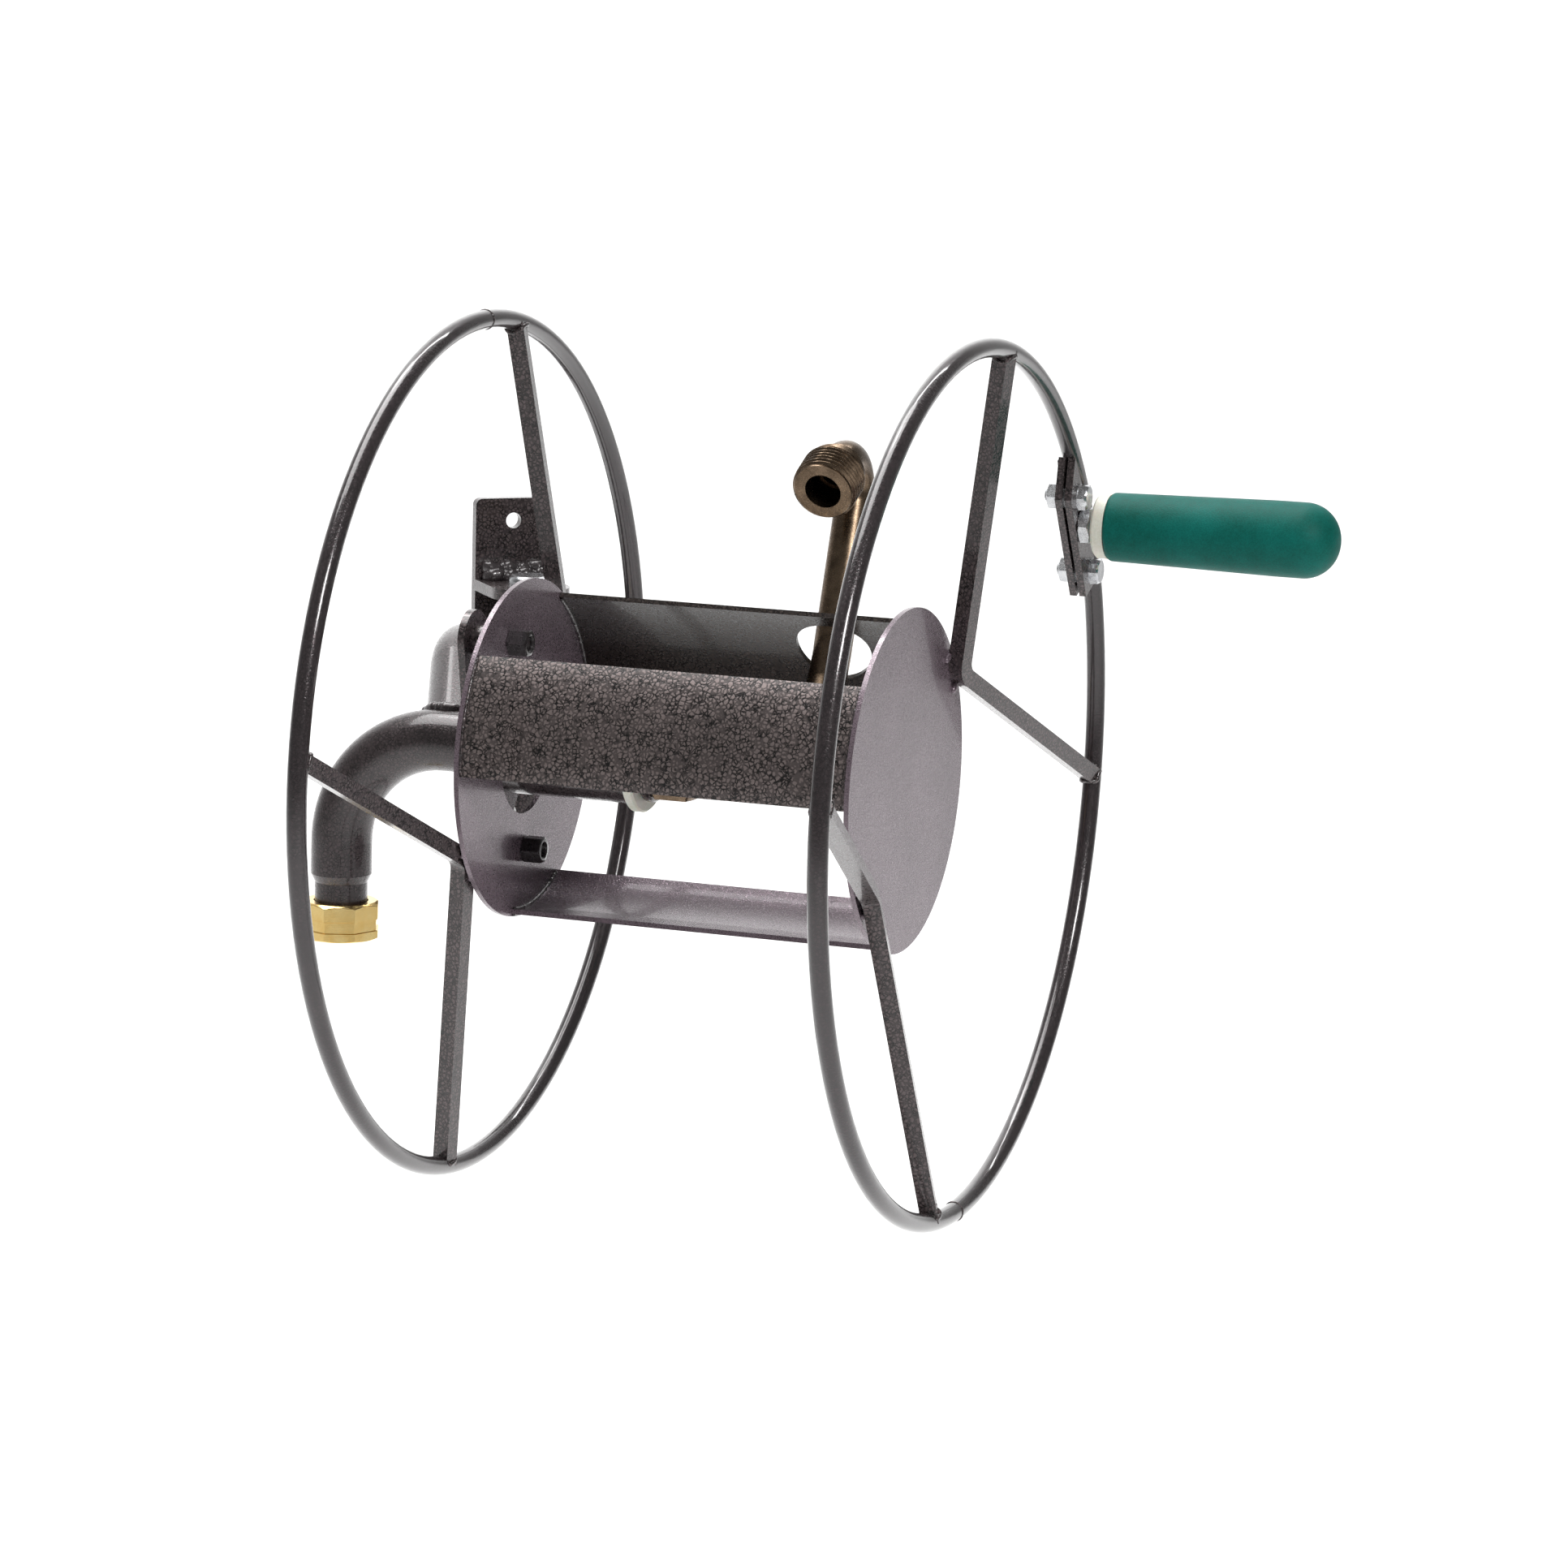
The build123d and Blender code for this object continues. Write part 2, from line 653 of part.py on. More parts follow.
def handle_washers():
    """Under each bolt head a washer, and between the plates another that spaces them."""
    rings = []
    for along in bolt_offsets:
        y, z = handle_point(along)
        outer_end = outer_face_x + handle_washer_thickness
        gap_x = handle_plate_x + handle_plate_thickness
        rings.append(round_ring(handle_washer_d / 2, bolt_d / 2, outer_face_x, outer_end, y, z))
        rings.append(round_ring(handle_washer_d / 2, bolt_d / 2, gap_x, outer_plate_x, y, z))
    return Compound(children=rings)


def handle_spindle():
    y, z = handle_point(spindle_offset)
    spindle = round_bar(spindle_d / 2, outer_plate_x, spindle_end_x, y, z)
    ring_end = grip_ring_x + grip_ring_thickness
    return spindle - round_ring(spindle_d, grip_ring_groove_d / 2, grip_ring_x, ring_end, y, z)


def spindle_nut():
    y, z = handle_point(spindle_offset)
    ends = (outer_face_x, outer_face_x + spindle_nut_height)
    return hex_bar(spindle_nut_flats, *ends, y, z) - round_bar(spindle_d / 2, *ends, y, z)


def grip_retaining_ring():
    y, z = handle_point(spindle_offset)
    ring_end = grip_ring_x + grip_ring_thickness
    return round_ring(grip_ring_d / 2, grip_ring_groove_d / 2, grip_ring_x, ring_end, y, z)


grip_x = handle_bush_x + handle_bush_flange
bush_end_x = handle_bush_x + handle_bush_length


def handle_bush():
    """The nylon bush in the base of the grip, with a thick flange that stands out of it."""
    y, z = handle_point(spindle_offset)
    flange = round_bar(handle_bush_flange_d / 2, handle_bush_x, grip_x, y, z)
    flange = chamfer(flange.edges().group_by(Axis.X)[0], handle_bush_chamfer)
    bush = flange + round_bar(handle_bush_body_d / 2, grip_x, bush_end_x, y, z)
    return bush - round_bar(spindle_d / 2 + running_gap, handle_bush_x, bush_end_x, y, z)


def handle_grip():
    """A slightly swelling round grip with a domed end, bored for the bush and the spindle."""
    y, z = handle_point(spindle_offset)
    end_x = grip_x + grip_length
    outline = make_face(Polyline(
        (grip_x, 0),
        (grip_x, grip_base_d / 2),
        (grip_full_x, grip_full_d / 2),
        (end_x, grip_full_d / 2),
        (end_x, 0),
        close=True,
    ))
    outline = fillet(outline.vertices().group_by(Axis.Y)[-1].sort_by(Axis.X)[-1:], grip_nose_r)
    base = outline.vertices().group_by(Axis.X)[0].sort_by(Axis.Y)[-1:]
    outline = fillet(base, grip_base_edge_r)
    grip = Pos(0, y, z) * revolve(outline, Axis.X)
    grip -= round_bar(handle_bush_body_d / 2, grip_x, bush_end_x, y, z)
    grip -= round_bar(spindle_d / 2 + 2 * running_gap, bush_end_x, grip_bore_end_x, y, z)
    chamber = (grip_ring_x - grip_chamber_room, grip_ring_x + grip_ring_thickness + grip_chamber_room)
    return grip - round_bar(grip_chamber_d / 2, *chamber, y, z)


wall_nodes = {
    "wall_plate": wall_plate(),
    "upper_ear": ear(ear_inner_z),
    "lower_ear": ear(-ear_top_z),
    "pivot_pin": pivot_pin(),
    "pin_washer": pin_washer(),
    "pin_clip": pin_clip(),
}

reel_nodes = {
    "pivot_sleeve": pivot_sleeve(),
    "upper_pivot_bush": pivot_bush(1),
    "lower_pivot_bush": pivot_bush(-1),
    "support_arm": support_arm(),
    "inlet_tube": inlet_tube(),
    "hub_retaining_ring": hub_retaining_ring(),
    "hub_collar": hub_collar(),
    "swivel_cap_nut": swivel_cap_nut(),
    "hose_nut": hose_nut(),
    "hose_washer": hose_washer(),
    "bearing_flange": bearing_flange(),
    "flange_screws": each_bolt(flange_screw),
    "flange_spacers": each_bolt(flange_spacer),
    "flange_nuts": each_bolt(flange_nut),
    "hub_sleeve": hub_sleeve(),
    "outer_hub_bush": outer_hub_bush(),
    "inner_hub_bush": inner_hub_bush(),
    "left_disc": left_disc(),
    "right_disc": right_disc(),
    "front_strip": drum_strip(front_strip_angle),
    "back_strip": back_strip(),
    "bottom_strip": drum_strip(bottom_strip_angle),
    "left_rim": rim(-1),
    "right_rim": rim(1),
    "left_upper_spoke": spoke(-1, upper_spoke_angle),
    "left_lower_spoke": spoke(-1, lower_spoke_angle),
    "right_upper_spoke": spoke(1, upper_spoke_angle),
    "right_lower_spoke": spoke(1, lower_spoke_angle),
    "swivel_spigot": swivel_spigot(),
    "spigot_o_rings": spigot_o_rings(),
    "gooseneck_tube": gooseneck_tube(),
    "outlet_fitting": outlet_fitting(),
    "handle_plate_welded": handle_plate(handle_plate_x),
    "handle_plate_bolted": handle_plate_bolted(),
    "handle_bolts": each_handle_bolt(handle_bolt),
    "handle_nuts": each_handle_bolt(handle_nut),
    "handle_washers": handle_washers(),
    "handle_spindle": handle_spindle(),
    "spindle_nut": spindle_nut(),
    "grip_retaining_ring": grip_retaining_ring(),
    "handle_bush": handle_bush(),
    "handle_grip": handle_grip(),
}

os.makedirs("parts", exist_ok=True)
placed = dict(wall_nodes)
placed.update({name: reel_to_wall * shape for name, shape in reel_nodes.items()})
for name, shape in placed.items():
    export_step(shape, f"parts/{name}.step")
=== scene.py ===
import json
import math

import bpy
from mathutils import Matrix, Vector


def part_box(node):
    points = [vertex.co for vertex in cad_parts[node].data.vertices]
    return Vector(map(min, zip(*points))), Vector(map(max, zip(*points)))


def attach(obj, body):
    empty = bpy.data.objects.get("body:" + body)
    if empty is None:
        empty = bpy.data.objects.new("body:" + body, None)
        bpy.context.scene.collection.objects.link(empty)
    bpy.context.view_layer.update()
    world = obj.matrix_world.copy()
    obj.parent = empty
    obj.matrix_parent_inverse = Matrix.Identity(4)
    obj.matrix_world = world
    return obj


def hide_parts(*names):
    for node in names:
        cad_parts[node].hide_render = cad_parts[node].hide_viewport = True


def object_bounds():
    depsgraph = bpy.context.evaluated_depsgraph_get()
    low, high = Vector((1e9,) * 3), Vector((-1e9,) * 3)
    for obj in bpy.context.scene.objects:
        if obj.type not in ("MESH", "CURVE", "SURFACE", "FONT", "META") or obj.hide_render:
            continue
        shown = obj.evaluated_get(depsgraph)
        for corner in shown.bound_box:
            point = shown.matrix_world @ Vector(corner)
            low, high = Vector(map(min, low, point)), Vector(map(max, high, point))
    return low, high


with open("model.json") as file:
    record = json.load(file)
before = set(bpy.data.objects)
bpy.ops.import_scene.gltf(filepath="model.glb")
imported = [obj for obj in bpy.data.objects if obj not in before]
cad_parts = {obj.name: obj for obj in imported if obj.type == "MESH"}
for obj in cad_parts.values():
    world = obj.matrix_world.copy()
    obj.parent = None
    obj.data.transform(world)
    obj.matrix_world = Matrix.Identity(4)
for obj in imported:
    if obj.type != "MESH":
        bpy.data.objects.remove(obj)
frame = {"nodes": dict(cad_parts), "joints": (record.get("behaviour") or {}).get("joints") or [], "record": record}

MM = 0.001
cad_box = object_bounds()
joints = {joint["name"]: joint for joint in frame["joints"]}

# The reel frame: origin on the reel's axis midway between the rims, X along the axis towards the crank,
# Z up. An angle round the axis is counted from +Y, the wall side, towards +Z.
axle = Vector(joints["reel_spin"]["axis"]).normalized()
upwards = Vector((0, 0, 1))
reel_axes = Matrix((axle, upwards.cross(axle), upwards)).transposed().to_4x4()
reel = Matrix.Translation(joints["reel_spin"]["pos_m"]) @ reel_axes
wall = Matrix.Identity(4)

# Sizes repeated from the CAD model, in millimetres
RIM_R = 173.83
ROD_R = 3.97
RIM_X = 105.4
STRIP_R = 68.3
STRIP_THICKNESS = 2.0
LEFT_DISC = (-86.1, -84.1)
RIGHT_DISC = (78.2, 80.2)
SPOKE_APEX_R = 63.0
SPOKE_HALF_ANGLE = 43.5
SPOKE_SIZE = 7.0
SPOKE_ANGLES = {"upper": 36.0, "lower": 217.0}
STRIPS = {"front": 160.0, "bottom": 280.0, "back": 40.0}
STRIP_WIDTH_ANGLE = 42.5
PIVOT = Vector((-156.5, 173.4, 5.0))
ARM_CORNER = Vector((-142.0, 62.0, 29.0))
ARM_END = Vector((-117.5, 0.0, 0.0))
ARM_R = 11.1
SLEEVE_R = 14.0
INLET_R = 12.7
INLET_BEND_X = -120.5
INLET_BEND_R = 46.0
HANDLE_ANGLE = 31.5
HANDLE_R = 161.0
SPINDLE_OFFSET = 6.7
BOLT_OFFSETS = (21.2, -17.8)
FLANGE_BOLTS = ((-18.0, 46.0), (40.0, 8.0), (0.0, -42.0))
HOSE_PITCH = 2.209
THREAD_DEPTH = 1.15
OUTLET_MIDDLE = 7.75
SPINDLE_NUT_X = 108.6
HANDLE_NUT_X = 96.4
HANDLE_BOLT_TIP_X = 94.9
HANDLE_BOLT_HEAD_X = 109.8
CAP_NUT_X = -25.6

# Places and sizes of the welds, in millimetres, with angles in degrees
HANDLE_WELD_ANGLES = ((1.5, 12.3), (-9.0, -1.5))
HANDLE_WELD_INNER = (101.6, 170.0)
HANDLE_WELD_OUTER = (105.0, 169.6)
STRIP_WELD_SHARE = 0.94
STRIP_WELD_SINK = 0.2
CORNER_WELD_TURN = 5.2
CORNER_WELD_RADII = (69.0, 66.0, 63.0, 60.5)
SPOKE_WELD_HALF = 3.7
HUB_WELD = (-98.6, 19.6)
EAR_WELD_HALF = 14.6
ARM_WELD_SINK = 45

# Numbers shared by the materials: the veins' colour, the size of their warp in metres, and the grain's depth
VEIN_COLOUR = (0.0025, 0.0018, 0.0018)
WARP_SIZE = (0.0016, 0.0016, 0.0016)
GRAIN_DEPTH = 0.00012

# Studio and camera, in metres and degrees
CAMERA_ANGLES = (-21.01, 10.08, 1.47)
CAMERA_TARGET = (0.02563, -0.28204, -0.0056)
CAMERA_DISTANCE = 2.166
CAMERA_LENS = 123.8
FLOOR_DROP = 0.35
BACKDROP_BEND_Y = 2.2
BACKDROP_BEND_R = 1.2


# ---- Materials ----

class Nodes:
    """A short way to build a node material."""

    def __init__(self, name):
        self.material = bpy.data.materials.new(name)
        self.material.use_nodes = True
        self.tree = self.material.node_tree
        self.shader = self.tree.nodes["Principled BSDF"]
        self.where = self.add("ShaderNodeTexCoord").outputs["Object"]

    def add(self, kind, **settings):
        node = self.tree.nodes.new(kind)
        for key, value in settings.items():
            setattr(node, key, value)
        return node

    def link(self, source, target):
        self.tree.links.new(source, target)

    def noise(self, scale, detail=2.0, roughness=0.5):
        node = self.add("ShaderNodeTexNoise")
        node.inputs["Scale"].default_value = scale
        node.inputs["Detail"].default_value = detail
        node.inputs["Roughness"].default_value = roughness
        self.link(self.where, node.inputs["Vector"])
        return node.outputs["Fac"]

    def spread(self, value, low, high, to_low=0.0, to_high=1.0):
        node = self.add("ShaderNodeMapRange")
        for socket, number in zip(node.inputs[1:5], (low, high, to_low, to_high)):
            socket.default_value = number
        self.link(value, node.inputs["Value"])
        return node.outputs["Result"]

    def math(self, operation, a, b):
        node = self.add("ShaderNodeMath", operation=operation)
        for socket, value in zip(node.inputs, (a, b)):
            if isinstance(value, float):
                socket.default_value = value
            else:
                self.link(value, socket)
        return node.outputs["Value"]

    def mix(self, factor, a, b):
        node = self.add("ShaderNodeMix", data_type="RGBA")
        self.link(factor, node.inputs["Factor"])
        for socket, value in ((node.inputs["A"], a), (node.inputs["B"], b)):
            if isinstance(value, tuple):
                socket.default_value = (*value, 1.0)
            else:
                self.link(value, socket)
        return node.outputs["Result"]

    def bump(self, height, strength, distance):
        node = self.add("ShaderNodeBump")
        node.inputs["Strength"].default_value = strength
        node.inputs["Distance"].default_value = distance
        self.link(height, node.inputs["Height"])
        self.link(node.outputs["Normal"], self.shader.inputs["Normal"])

    def set(self, **values):
        for key, value in values.items():
            socket = self.shader.inputs[key.replace("_", " ")]
            if isinstance(value, bpy.types.NodeSocket):
                self.link(value, socket)
            elif isinstance(value, tuple):
                socket.default_value = (*value, 1.0)
            else:
                socket.default_value = value
        return self.material


def vein_paint(name, contrast, grain, tint, gloss=0.6, metal=0.6, rough=0.40):
    """Hammered powder coat: worm-like brown-grey metallic flakes between black veins, under a clear gloss."""
    n = Nodes(name)
    warp = n.add("ShaderNodeVectorMath", operation="MULTIPLY_ADD")
    bend = n.add("ShaderNodeTexNoise")
    bend.inputs["Scale"].default_value = 700.0
    n.link(n.where, bend.inputs["Vector"])
    n.link(bend.outputs["Color"], warp.inputs[0])
    warp.inputs[1].default_value = WARP_SIZE
    n.link(n.where, warp.inputs[2])
    cells = n.add("ShaderNodeTexVoronoi", feature="DISTANCE_TO_EDGE")
    cells.inputs["Scale"].default_value = grain
    n.link(warp.outputs["Vector"], cells.inputs["Vector"])
    veins = n.spread(cells.outputs["Distance"], 0.05, 0.25)
    breaks = n.spread(n.noise(grain * 0.55, 1.0), 0.42, 0.62)
    flakes = n.math("MAXIMUM", veins, n.math("MULTIPLY", breaks, 0.35))
    patches = n.spread(n.noise(35.0, 3.0), 0.3, 0.7, 0.75, 1.0)
    speck = n.spread(n.noise(2600.0, 1.0), 0.3, 0.7, 0.75, 1.0)
    dark = tuple(c * 0.22 for c in tint)
    light = n.mix(n.math("MULTIPLY", patches, speck), dark, tint)
    colour = n.mix(n.spread(flakes, 0.0, 1.0, 1.0 - contrast, 1.0), VEIN_COLOUR, light)
    n.bump(n.math("ADD", n.math("MULTIPLY", flakes, 0.8), speck), 0.4, GRAIN_DEPTH)
    return n.set(
        Base_Color=colour,
        Metallic=n.spread(flakes, 0.0, 1.0, 0.1, metal),
        Roughness=n.spread(flakes, 0.0, 1.0, 0.24, rough),
        Coat_Weight=gloss,
        Coat_Roughness=0.08,
    )


def plated(name, dark, light, rough, turned=None):
    """Plated or machined metal with faint mottling, fine scratches and, if turned, the marks of the lathe."""
    n = Nodes(name)
    mottle = n.spread(n.noise(160.0, 4.0, 0.6), 0.3, 0.7)
    colour = n.mix(mottle, dark, light)
    fine = n.noise(1500.0, 3.0, 0.7)
    height = fine
    if turned:
        rings = n.add("ShaderNodeTexWave", wave_type="BANDS", bands_direction=turned)
        rings.inputs["Scale"].default_value = 620.0
        rings.inputs["Distortion"].default_value = 0.6
        n.link(n.where, rings.inputs["Vector"])
        height = n.math("ADD", fine, n.math("MULTIPLY", rings.outputs["Fac"], 0.6))
    n.bump(height, 0.16, 0.00006)
    return n.set(
        Base_Color=colour,
        Metallic=1.0,
        Roughness=n.spread(fine, 0.3, 0.7, rough * 0.75, rough * 1.3),
    )


def moulded(name, dark, light, rough, grain, strength, soft=0.0, shine=0.5):
    """Plastic or rubber with uneven colour, a fine speckle and a moulded texture."""
    n = Nodes(name)
    cloud = n.spread(n.noise(60.0, 4.0, 0.6), 0.3, 0.7)
    speckle = n.spread(n.noise(grain, 2.0, 0.8), 0.35, 0.65)
    blend = n.math("ADD", n.math("MULTIPLY", cloud, 0.55), n.math("MULTIPLY", speckle, 0.45))
    colour = n.mix(blend, dark, light)
    n.bump(n.math("ADD", speckle, n.math("MULTIPLY", cloud, 2.0)), strength, GRAIN_DEPTH)
    return n.set(
        Base_Color=colour,
        Roughness=n.spread(speckle, 0.0, 1.0, rough - 0.06, rough + 0.06),
        Specular_IOR_Level=shine,
        Subsurface_Weight=soft,
        Subsurface_Scale=0.002,
    )


paint_strip = vein_paint("paint_strip", 1.0, 560.0, (0.300, 0.244, 0.235))
# The back strip gets a much darker copy of the same powder coat: painted shade for its inner face inside the drum.
paint_back_painted_shade = vein_paint("paint_back_painted_shade", 0.8, 600.0, (0.070, 0.053, 0.046), 0.2)
paint_plate = vein_paint("paint_plate", 0.95, 600.0, (0.160, 0.126, 0.128))
paint_rim = vein_paint("paint_rim", 0.75, 640.0, (0.075, 0.058, 0.062), 1.0, 0.5, 0.27)
# The discs and the bottom strip get a lighter mauve copy of the same powder coat: a painted reflection of the
# bright backdrop.
paint_disc_painted_reflection = vein_paint("paint_disc_painted_reflection", 0.25, 900.0, (0.270, 0.208, 0.244), 0.3, 0.80, 0.27)
paint_tube = vein_paint("paint_tube", 0.75, 620.0, (0.105, 0.082, 0.085))
paint_gloss = vein_paint("paint_gloss", 0.4, 640.0, (0.09, 0.075, 0.078), 1.0)
paint_nut = vein_paint("paint_nut", 0.4, 640.0, (0.030, 0.025, 0.027), 1.0)
zinc = plated("zinc", (0.52, 0.53, 0.55), (0.80, 0.81, 0.82), 0.24)
spring_steel = plated("spring_steel", (0.05, 0.05, 0.055), (0.13, 0.13, 0.14), 0.4)
brass = plated("brass", (0.90, 0.60, 0.20), (0.99, 0.77, 0.34), 0.22, "Z")
bronze = plated("bronze", (0.105, 0.074, 0.050), (0.240, 0.172, 0.116), 0.27)
nylon = moulded("nylon", (0.66, 0.65, 0.54), (0.84, 0.83, 0.75), 0.42, 900.0, 0.15, 0.25)
green = moulded("green", (0.001, 0.078, 0.058), (0.004, 0.160, 0.134), 0.5, 1500.0, 0.35, shine=0.14)
rubber = moulded("rubber", (0.012, 0.012, 0.012), (0.035, 0.035, 0.035), 0.6, 1200.0, 0.3)

LOOKS = {
    paint_strip: "front_strip",
    paint_back_painted_shade: "back_strip",
    paint_disc_painted_reflection: "left_disc right_disc bottom_strip",
    paint_plate: "wall_plate upper_ear lower_ear bearing_flange flange_spacers hub_collar "
    "left_upper_spoke left_lower_spoke right_upper_spoke right_lower_spoke "
    "handle_plate_welded handle_plate_bolted",
    paint_rim: "left_rim right_rim",
    paint_tube: "pivot_sleeve support_arm inlet_tube hub_sleeve",
    paint_gloss: "flange_screws",
    zinc: "pivot_pin pin_washer handle_washers handle_spindle",
    spring_steel: "pin_clip hub_retaining_ring grip_retaining_ring",
    brass: "swivel_spigot",
    bronze: "gooseneck_tube",
    nylon: "upper_pivot_bush lower_pivot_bush outer_hub_bush inner_hub_bush handle_bush",
    green: "handle_grip",
    rubber: "hose_washer spigot_o_rings",
}
for material, names in LOOKS.items():
    for node_name in names.split():
        node = frame["nodes"][node_name]
        node.data.materials.clear()
        node.data.materials.append(material)


# ---- Pieces ----

def piece(name, points, faces, place, body, material, sharp_angle=32.0):
    """A mesh given in millimetres in the frame place, riding on a CAD body."""
    mesh = bpy.data.meshes.new(name)
    mesh.from_pydata([place @ (Vector(point) * MM) for point in points], [], faces)
    mesh.polygons.foreach_set("use_smooth", [True] * len(mesh.polygons))
    mesh.set_sharp_from_angle(angle=math.radians(sharp_angle))
    mesh.materials.append(material)
    made = bpy.data.objects.new(name, mesh)
    bpy.context.scene.collection.objects.link(made)
    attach(made, body)
    return made


def loops_to_faces(count, around, closed):
    """Quads between loops of points, each loop closed on itself, the row of loops closed or capped."""
    faces = []
    for row in range(count if closed else count - 1):
        low = row * around
        high = (row + 1) % count * around
        for step in range(around):
            beside = (step + 1) % around
            faces.append((low + step, low + beside, high + beside, high + step))
    if not closed:
        faces.append(tuple(reversed(range(around))))
        faces.append(tuple((count - 1) * around + step for step in range(around)))
    return faces


def rows_between(sections, step):
    """Extra rows put in between the corners of a lathe profile, so that none are further apart than step."""
    rows = []
    for (s0, r0, shape), (s1, r1, after) in zip(sections, sections[1:] + sections[:1]):
        parts = max(1, math.ceil(math.hypot(s1 - s0, r1 - r0) / step)) if shape else 1
        for i in range(parts):
            share = i / parts
            between = shape
            if isinstance(shape, float) and isinstance(after, float):
                between = shape + (after - shape) * share
            rows.append((s0 + (s1 - s0) * share, r0 + (r1 - r0) * share, between))
    return rows


def turned(name, place, sections, body, slot, material, sides=6, around=96, step=0.3):
    """A lathe-turned ring about Z from a closed profile of (height, radius, shape).
    A shape that is a number holds the radius within a polygon of that width across its flats,
    and "out" or "in" adds a hose thread to it."""
    points = []
    rows = rows_between(sections, step)
    for s, r, shape in rows:
        for i in range(around):
            angle = 2 * math.pi * i / around
            radius = r
            if isinstance(shape, float):
                off = (angle + math.pi / sides) % (2 * math.pi / sides) - math.pi / sides
                radius = min(r, shape / 2 / math.cos(off))
            elif shape:
                phase = (s / HOSE_PITCH - i / around) % 1.0
                depth = THREAD_DEPTH * min(1.0, max(0.0, 1.6 * abs(2 * phase - 1) - 0.2))
                radius = r - depth if shape == "out" else r + depth
            points.append((radius * math.cos(angle), radius * math.sin(angle), s))
    return piece(name, points, loops_to_faces(len(rows), around, True), place, body, material)


def hex_nut(name, flats, height, bore, place, body, slot, material):
    """A hexagon nut with chamfered corners, from Z = 0 up."""
    corner = flats / math.sqrt(3)
    drop = (corner - flats / 2 + 0.3) * 0.55
    face_r = flats / 2 - 0.3
    lead = min(0.6, height / 8)
    return turned(name, place, [
        (0.0, face_r, flats),
        (drop, corner, flats),
        (height - drop, corner, flats),
        (height, face_r, None),
        (height, bore + lead, None),
        (height - lead, bore, None),
        (lead, bore, None),
        (0.0, bore + lead, None),
    ], body, slot, material, around=72, step=0.25)


def weld(name, path, radius, place, body, material, closed=False, ripple=0.16, pitch=1.7):
    """A painted weld bead along a path: a row of overlapping, slightly uneven ripples."""
    path = [Vector(p) for p in path]
    ends = path + path[:1] if closed else path
    lengths = [0.0]
    for a, b in zip(ends, ends[1:]):
        lengths.append(lengths[-1] + (b - a).length)
    count = max(8, round(lengths[-1] / (pitch / 5)))
    around = 14
    points = []
    for row in range(count):
        along = lengths[-1] * row / (count if closed else count - 1)
        part = next(i for i in range(1, len(lengths)) if lengths[i] >= along - 1e-9)
        share = (along - lengths[part - 1]) / max(1e-9, lengths[part] - lengths[part - 1])
        centre = ends[part - 1].lerp(ends[part], share)
        before = ends[part - 2] if part > 1 or closed else ends[part - 1]
        heading = (ends[part] - before).normalized()
        side = heading.cross(Vector((0.31, 0.17, 0.93))).normalized()
        up = side.cross(heading)
        fade = 1.0
        if not closed:
            to_end = max(0.0, min(along, lengths[-1] - along))
            fade = min(1.0, 0.35 + 1.3 * math.sqrt(to_end / (2 * radius)))
        uneven = 1 + 0.07 * math.sin(along * 0.83 + radius * 7) + 0.05 * math.sin(along * 1.9 + 1.3)
        for i in range(around):
            angle = 2 * math.pi * i / around
            wave = ripple * (0.5 - abs(((along / pitch + 0.16 * math.cos(angle * 2)) % 1.0) - 0.5))
            size = radius * fade * uneven * (1 + wave)
            points.append(centre + (side * math.cos(angle) + up * math.sin(angle)) * size)
    faces = loops_to_faces(count, around, closed)
    piece(name, points, faces, place, body, material, sharp_angle=60.0)


def polar(radius, angle):
    """The Y and Z of a point at a radius and an angle in degrees."""
    return radius * math.cos(math.radians(angle)), radius * math.sin(math.radians(angle))


def on_axis(x, y, z):
    """A place on the reel whose Z points along the reel's axis."""
    turn = Matrix.Rotation(math.radians(90), 4, "Y")
    return reel @ Matrix.Translation(Vector((x, y, z)) * MM) @ turn


# Hose nut, with its eight sides, waist and inner thread
nut_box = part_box("hose_nut")
nut_centre = (nut_box[0] + nut_box[1]) / 2
side_turn = axle.to_2d().angle_signed(Vector((1, 0))) + math.radians(22.5)
nut_foot = Matrix.Translation((nut_centre.x, nut_centre.y, nut_box[0].z))
hose_nut = turned("hose_nut_turned", nut_foot @ Matrix.Rotation(side_turn, 4, "Z"), [
    (0.0, 15.3, 31.0),
    (0.8, 16.78, 31.0),
    (3.7, 16.78, 31.0),
    (4.0, 16.02, 29.6),
    (8.4, 16.02, 29.6),
    (8.7, 16.78, 31.0),
    (14.1, 16.78, 31.0),
    (15.5, 14.8, None),
    (15.5, 11.4, None),
    (13.0, 11.4, None),
    (13.0, 12.9, None),
    (7.9, 12.9, None),
    (7.7, 12.3, "in"),
    (0.9, 12.3, "in"),
    (0.0, 13.5, None),
], "hose_nut", "brass", brass, sides=8, around=128, step=0.2)
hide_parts("hose_nut")

# Outlet fitting, with its thread, facing out of the gooseneck's end
outlet = {mount["name"]: mount for mount in frame["record"]["mounts"]}["hose_outlet"]
inwards = -Vector(outlet["axis"]).normalized()
outlet_face = Vector(outlet["pos_m"]) - inwards * OUTLET_MIDDLE * MM
outlet_place = Matrix.Translation(outlet_face) @ inwards.to_track_quat("Z", "Y").to_matrix().to_4x4()
outlet_fitting = turned("outlet_fitting_turned", outlet_place, [
    (0.0, 7.6, None),
    (0.0, 12.1, None),
    (0.9, 13.2, "out"),
    (2.2, 13.5, "out"),
    (13.6, 13.5, None),
    (14.5, 12.2, None),
    (17.5, 12.2, None),
    (17.5, 10.4, None),
    (18.1, 10.0, None),
    (21.4, 10.0, None),
    (22.0, 9.4, None),
    (22.0, 8.0, None),
    (16.0, 8.0, None),
    (16.0, 7.4, None),
    (0.5, 7.4, None),
], "reel", "bronze_plate", bronze, around=128, step=0.16)
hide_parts("outlet_fitting")

